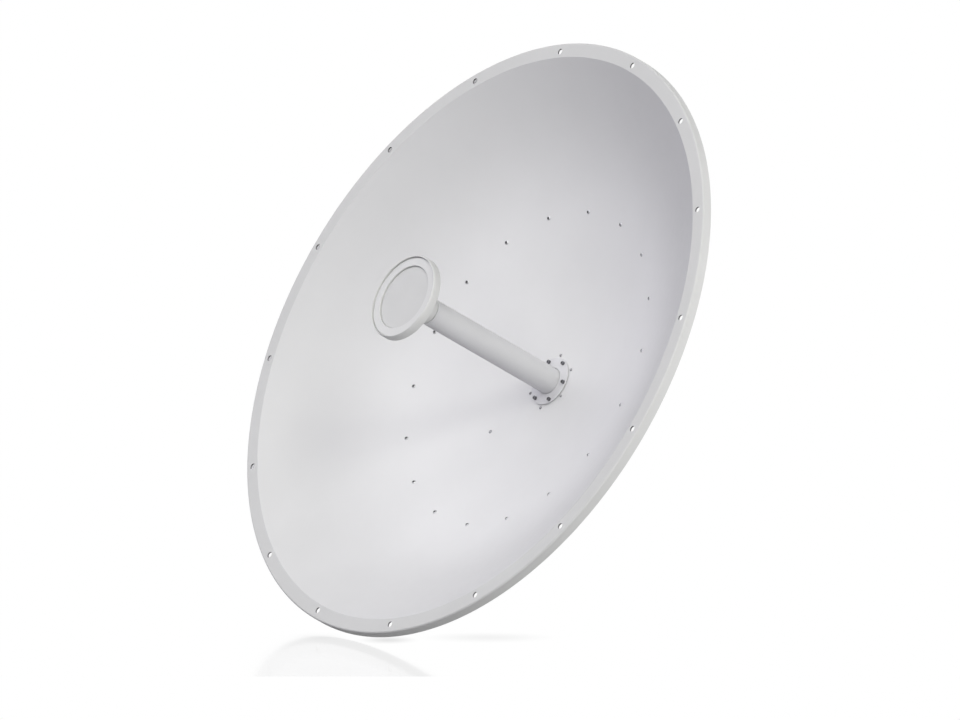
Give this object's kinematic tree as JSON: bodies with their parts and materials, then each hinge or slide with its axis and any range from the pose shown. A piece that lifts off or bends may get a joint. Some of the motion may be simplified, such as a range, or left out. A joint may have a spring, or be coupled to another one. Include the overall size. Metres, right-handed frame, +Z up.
{
  "type": "dish antenna",
  "caption": "Parabolic dish antenna with a folded rim, tube feed with a flat round head, rear support cone and compact tilting mast bracket.",
  "frame": {"origin": "centre of the mast plate's flat rear face", "axes": "+Z up, +Y out of the plate's rear face towards the mast, +X to the right as seen from the front; the dish looks towards -Y, raised 30 degrees"},
  "size_m": [1.05, 0.5483, 0.9168],
  "materials": {
    "dish_coat": "satin powder coat",
    "feed_coat": "satin powder coat",
    "feed_plastic": "satin",
    "bare_metal": "machined",
    "bracket_steel": "galvanised",
    "bolt_steel": "stainless",
    "port_metal": "nickel plated"
  },
  "bodies": {
    "root": {"reflector": "dish_coat", "feed_flange": "feed_coat", "feed_tube": "feed_coat", "feed_cone": "feed_plastic", "feed_disc": "bare_metal", "feed_cover": "feed_plastic", "support_ring": "dish_coat", "feed_socket": "bare_metal", "transition_body": "bare_metal", "transition_cap": "bare_metal", "port_top": "port_metal", "port_rear": "port_metal", "dish_bracket_base": "bracket_steel", "dish_cheek_left": "bracket_steel", "dish_cheek_right": "bracket_steel", "mast_plate": "bracket_steel", "mast_cheek_left": "bracket_steel", "mast_cheek_right": "bracket_steel", "pivot_bolt_left": "bolt_steel", "pivot_bolt_right": "bolt_steel", "lock_bolt_left": "bolt_steel", "lock_bolt_right": "bolt_steel", "bracket_bolt_1": "bolt_steel", "bracket_bolt_2": "bolt_steel", "bracket_bolt_3": "bolt_steel", "bracket_bolt_4": "bolt_steel", "rod_barrel_dish": "bolt_steel", "rod_barrel_mast": "bolt_steel", "elevation_rod": "bolt_steel", "rod_nut_front": "bolt_steel", "rod_nut_rear": "bolt_steel", "rod_nut_dish": "bolt_steel"}
  },
  "joints": []
}
